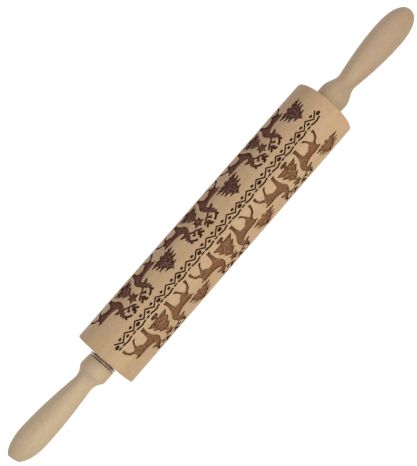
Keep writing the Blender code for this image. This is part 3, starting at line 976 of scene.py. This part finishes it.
LEFT_HANDLE = {
    "end_flat": 9.2 * MM,
    "end_fullness_share": 2.1,
    "face_round": 0.35 * MM,
    "face": 21.8 * MM,
    "shoulder": 22.8 * MM,
    "shoulder_place": 10.3 * MM,
    "cove_length": 8.6 * MM,
    "cove_ease_share": 0.52,
    "swell": 22.0 * MM,
    "end_slant_share": 0.14,
    "lean_degrees": 1.94,
}
RIGHT_HANDLE = {
    "end_flat": 0.0,
    "end_fullness_share": 2.3,
    "face_round": 1.0 * MM,
    "face": 22.6 * MM,
    "shoulder": 23.2 * MM,
    "shoulder_place": 6.8 * MM,
    "cove_length": 15.0 * MM,
    "cove_ease_share": 1.18,
    "swell": 23.5 * MM,
    "end_slant_share": 0.0,
    "lean_degrees": -0.48,
}


def rounded(points, corner, reach):
    """The profile with a curve instead of its corner, which starts and ends this far from it."""
    crease = Vector(points[corner])
    before = [point for point in points[:corner] if (Vector(point) - crease).length > reach]
    after = [point for point in points[corner + 1:] if (Vector(point) - crease).length > reach]
    start = crease + (Vector(before[-1]) - crease).normalized() * reach
    end = crease + (Vector(after[0]) - crease).normalized() * reach
    curve = []
    for step in range(EDGE_STEPS + 1):
        share = step / EDGE_STEPS
        curve.append(tuple(start.lerp(crease, share).lerp(crease.lerp(end, share), share)))
    return before + curve + after


def blunt_end(sizes, length):
    """The end of the grip, from its tip to the widest point: an oval, cut off if it has a flat."""
    swell = sizes["swell"] / 2
    power = 2 / sizes["end_fullness_share"]
    first_turn = math.acos((sizes["end_flat"] / 2 / swell) ** (1 / power))
    whole_end = (length - HANDLE_SWELL_PLACE) / math.sin(first_turn) ** power
    points = [(length, 0)]
    for step in range(0 if sizes["end_flat"] else 1, CURVE_STEPS):
        turn = first_turn * (1 - step / CURVE_STEPS)
        along = whole_end * math.sin(turn) ** power
        points.append((HANDLE_SWELL_PLACE + along, swell * math.cos(turn) ** power))
    return rounded(points, 1, END_ROUND) if sizes["end_flat"] else points


def taper(start, swell, neck):
    """The long side of the grip, from its widest point down to the neck."""
    points = []
    for step in range(CURVE_STEPS + 1):
        share = 1 - step / CURVE_STEPS
        rise = math.sin(math.pi / 2 * share) ** HANDLE_TAPER_EASE_SHARE
        points.append((start + (HANDLE_SWELL_PLACE - start) * share, neck + (swell - neck) * rise))
    return points


def cove(sizes, neck):
    """The hollow from the neck up to the shoulder."""
    points = []
    shoulder = sizes["shoulder"] / 2
    for step in range(CURVE_STEPS + 1):
        share = 1 - step / CURVE_STEPS
        rise = (1 + math.cos(math.pi * share ** sizes["cove_ease_share"])) / 2
        place = sizes["shoulder_place"] + sizes["cove_length"] * share
        points.append((place, neck + (shoulder - neck) * rise))
    return points


def face_edge(sizes):
    """The small round at the edge of the face."""
    points = []
    for step in range(EDGE_STEPS + 1):
        turn = math.pi / 2 * step / EDGE_STEPS
        place = sizes["face_round"] * (1 - math.sin(turn))
        points.append((place, sizes["face"] / 2 - sizes["face_round"] * (1 - math.cos(turn))))
    return points


def handle_profile(sizes, length):
    neck = HANDLE_NECK_DIAMETER / 2
    taper_start = sizes["shoulder_place"] + sizes["cove_length"] + HANDLE_NECK_LENGTH
    insert_radius = INSERT_DIAMETER / 2 + SEAT_GAP
    grip_radius = AXLE_DIAMETER / 2 + SEAT_GAP
    bore_floor = AXLE_GRIP_LENGTH + SEAT_GAP
    grip = blunt_end(sizes, length) + taper(taper_start, sizes["swell"] / 2, neck)
    outside = grip + cove(sizes, neck)
    outside = rounded(outside + face_edge(sizes), len(outside) - 1, SHOULDER_ROUND)
    bore = [
        (0, insert_radius),
        (INSERT_FLOOR, insert_radius),
        (INSERT_FLOOR, grip_radius),
        (bore_floor, grip_radius),
        (bore_floor, 0),
    ]
    return outside + bore


# %% [markdown]
# Wood moves as it dries. The left grip has crept about two degrees off the rod's line and
# the right one half a degree, each to its own side, while their bores still fit the rod. So
# only the outside of a handle leans, and it leans more the further out a point lies.
#
# The left grip was also parted off a little aslant. Past its widest point it is drawn out on
# one side and held back on the other, and then fitted to its length again.

# %% Turn the handles
BORE_REACH = INSERT_DIAMETER / 2 + 2 * SEAT_GAP


def leaning(shape, face_place, lean_degrees):
    """The shape with its outside leaning sideways, and its bore left where it is."""
    slope = math.tan(math.radians(lean_degrees))
    for vertex in shape.verts:
        along = abs(vertex.co.x - face_place)
        in_bore = along < AXLE_GRIP_LENGTH + 2 * SEAT_GAP and vertex.co.yz.length < BORE_REACH
        if not in_bore:
            vertex.co.y += along * slope
    return shape


def slanted(shape, face_place, length, slant_share):
    """The shape with its end face aslant, and still as long as it was."""
    past_swell = [v for v in shape.verts if abs(v.co.x - face_place) > HANDLE_SWELL_PLACE]
    end_length = length - HANDLE_SWELL_PLACE
    moved_out = []
    for vertex in past_swell:
        along = abs(vertex.co.x - face_place) - HANDLE_SWELL_PLACE
        moved_out.append(along + slant_share * vertex.co.y * (along / end_length) ** 2)
    fit = end_length / max(moved_out)
    way = math.copysign(1, past_swell[0].co.x - face_place)
    for vertex, along in zip(past_swell, moved_out):
        vertex.co.x = face_place + way * (HANDLE_SWELL_PLACE + along * fit)
    return shape


def turned_handle(side, sizes, material):
    low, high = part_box(f"{side}_handle")
    length = high.x - low.x
    faces_left = side == "left"
    face_place = high.x if faces_left else low.x
    shape = spun(handle_profile(sizes, length), face_place, faces_left)
    shape = slanted(shape, face_place, length, sizes["end_slant_share"])
    shape = leaning(shape, face_place, sizes["lean_degrees"])
    name = f"turned_{side}_handle"
    dressed(name, shape, material, "handles_and_axle", f"{side}_handle")


turned_handle("left", LEFT_HANDLE, left_beech)
turned_handle("right", RIGHT_HANDLE, right_beech)

# %% [markdown]
# ## Bushes and washers
#
# A flanged nylon bush is pressed into each end of the barrel, and a zinc-plated washer runs
# loose on the rod between each bush and its handle. The washers' edges catch the light, so
# they get a small chamfer.

# %% Turn the small parts
RUNNING_CLEARANCE = 0.1 * MM
BUSH_FLANGE_DIAMETER = 19.0 * MM
BUSH_FLANGE_THICKNESS = 0.9 * MM
BUSH_LEAD_CHAMFER = 0.8 * MM
BUSH_EDGE_ROUND = 0.25 * MM
WASHER_CHAMFER = 0.2 * MM

rod_bore_radius = AXLE_DIAMETER / 2 + RUNNING_CLEARANCE


def bush_profile():
    """Places count from the barrel's end face."""
    flange_front = SEAT_GAP + BUSH_FLANGE_THICKNESS
    flange_radius = BUSH_FLANGE_DIAMETER / 2
    sleeve_radius = BUSH_DIAMETER / 2
    return [
        (flange_front, rod_bore_radius),
        (flange_front, flange_radius - BUSH_EDGE_ROUND),
        (flange_front - BUSH_EDGE_ROUND, flange_radius),
        (SEAT_GAP, flange_radius),
        (SEAT_GAP, sleeve_radius),
        (BUSH_LEAD_CHAMFER - BUSH_LENGTH, sleeve_radius),
        (-BUSH_LENGTH, sleeve_radius - BUSH_LEAD_CHAMFER),
        (-BUSH_LENGTH, rod_bore_radius),
    ]


def washer_profile(thickness, radius):
    return [
        (0, rod_bore_radius),
        (0, radius - WASHER_CHAMFER),
        (WASHER_CHAMFER, radius),
        (thickness - WASHER_CHAMFER, radius),
        (thickness, radius - WASHER_CHAMFER),
        (thickness, rod_bore_radius),
    ]


washer_bodies = {"left": "left_washer", "right": "end_float_carrier"}
for side in ("left", "right"):
    faces_left = side == "left"
    end_place = barrel_low.x if faces_left else barrel_high.x
    bush = spun(bush_profile(), end_place, faces_left)
    dressed(f"turned_{side}_bush", bush, nylon, "barrel", f"{side}_bush")
    low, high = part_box(f"{side}_thrust_washer")
    washer = spun(washer_profile(high.x - low.x, high.z), low.x)
    name = f"turned_{side}_washer"
    dressed(name, washer, zinc, washer_bodies[side], f"{side}_thrust_washer")

# %% [markdown]
# The rod and the insert nuts are closed in by wood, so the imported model's own shapes are
# fine for them. They only change their finish.

# %% Finish what is carried over
for name, material in (("axle_rod", zinc), ("left_insert_nut", brass), ("right_insert_nut", brass)):
    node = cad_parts[name]
    for slot in node.material_slots:
        slot.material = material
    print(name, "now has the finish", material.name)

# %% [markdown]
# ## Floor and light
#
# The pin lies on a plain pale floor. To the camera the floor glows a little, so that it
# reads as white, and it still takes the pin's shadow. A broad lamp at the lower right of the
# picture, which is towards -Y, makes that side of the barrel brighter and warmer. A lamp
# above the pin and a weak, cool one behind it soften the shaded side, and an even sky lights
# the rest.

# %% The floor
FLOOR_SIZE = 6000 * MM
FLOOR_GREY = (0.6, 0.6, 0.6)
FLOOR_ROUGHNESS = 0.9
FLOOR_GLOW = 0.75
WHITE = (1, 1, 1)

floor_shape = bmesh.new()
bmesh.ops.create_grid(floor_shape, x_segments=1, y_segments=1, size=FLOOR_SIZE / 2)
bmesh.ops.translate(floor_shape, verts=floor_shape.verts, vec=(0, 0, -barrel_radius))
floor = mesh_object("floor", floor_shape)
floor_paint, floor_shader, floor_place = new_finish("floor_paint", FLOOR_ROUGHNESS)
floor_shader.inputs["Base Color"].default_value = (*FLOOR_GREY, 1)
floor_shader.inputs["Specular IOR Level"].default_value = 0.0
floor_shader.inputs["Emission Color"].default_value = (*WHITE, 1)
rays = floor_place.node("ShaderNodeLightPath", {}, {})
camera_ray = Wire(rays.tree, rays.socket.node.outputs["Is Camera Ray"])
glossy_ray = Wire(rays.tree, rays.socket.node.outputs["Is Glossy Ray"])
connect(floor_shader, "Emission Strength", FLOOR_GLOW * (camera_ray + glossy_ray))
floor.data.materials.append(floor_paint)
floor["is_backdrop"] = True
print(f"{floor.name} lies {barrel_radius / MM:.1f} mm below the axle line")

# %% The lamps and the sky
SKY_COLOUR = (0.98, 0.94, 1.0)
SKY_STRENGTH = 0.40
LAMP_SIZE = 900 * MM
LAMPS = [
    ("main_lamp", Vector((200, -850, 950)) * MM, 8.7, (1.0, 0.95, 0.82)),
    ("top_lamp", Vector((-100, -100, 1300)) * MM, 4.0, (1.0, 0.98, 0.95)),
    ("back_lamp", Vector((-550, 700, 900)) * MM, 2.8, (0.86, 0.88, 1.0)),
]

for name, place, power, colour in LAMPS:
    lamp = bpy.data.objects.new(name, bpy.data.lights.new(name, "AREA"))
    bpy.context.scene.collection.objects.link(lamp)
    lamp.data.shape = "DISK"
    lamp.data.size = LAMP_SIZE
    lamp.data.energy = power
    lamp.data.color = colour
    lamp.location = place
    lamp.rotation_euler = (-place).to_track_quat("-Z", "Y").to_euler()
    print(name, power, "W")

sky = bpy.data.worlds.new("sky")
sky.use_nodes = True
bpy.context.scene.world = sky
background = sky.node_tree.nodes["Background"]
background.inputs["Color"].default_value = (*SKY_COLOUR, 1)
background.inputs["Strength"].default_value = SKY_STRENGTH
bpy.context.scene.view_settings.view_transform = "Standard"

# %% [markdown]
#
# The last lines measure the box that the dressed pin fills and print it. The dressed pin has
# to fill the same box as the imported model.

# %% Print the dressed pin's box
low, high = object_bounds()
print("box now from", low, "to", high)
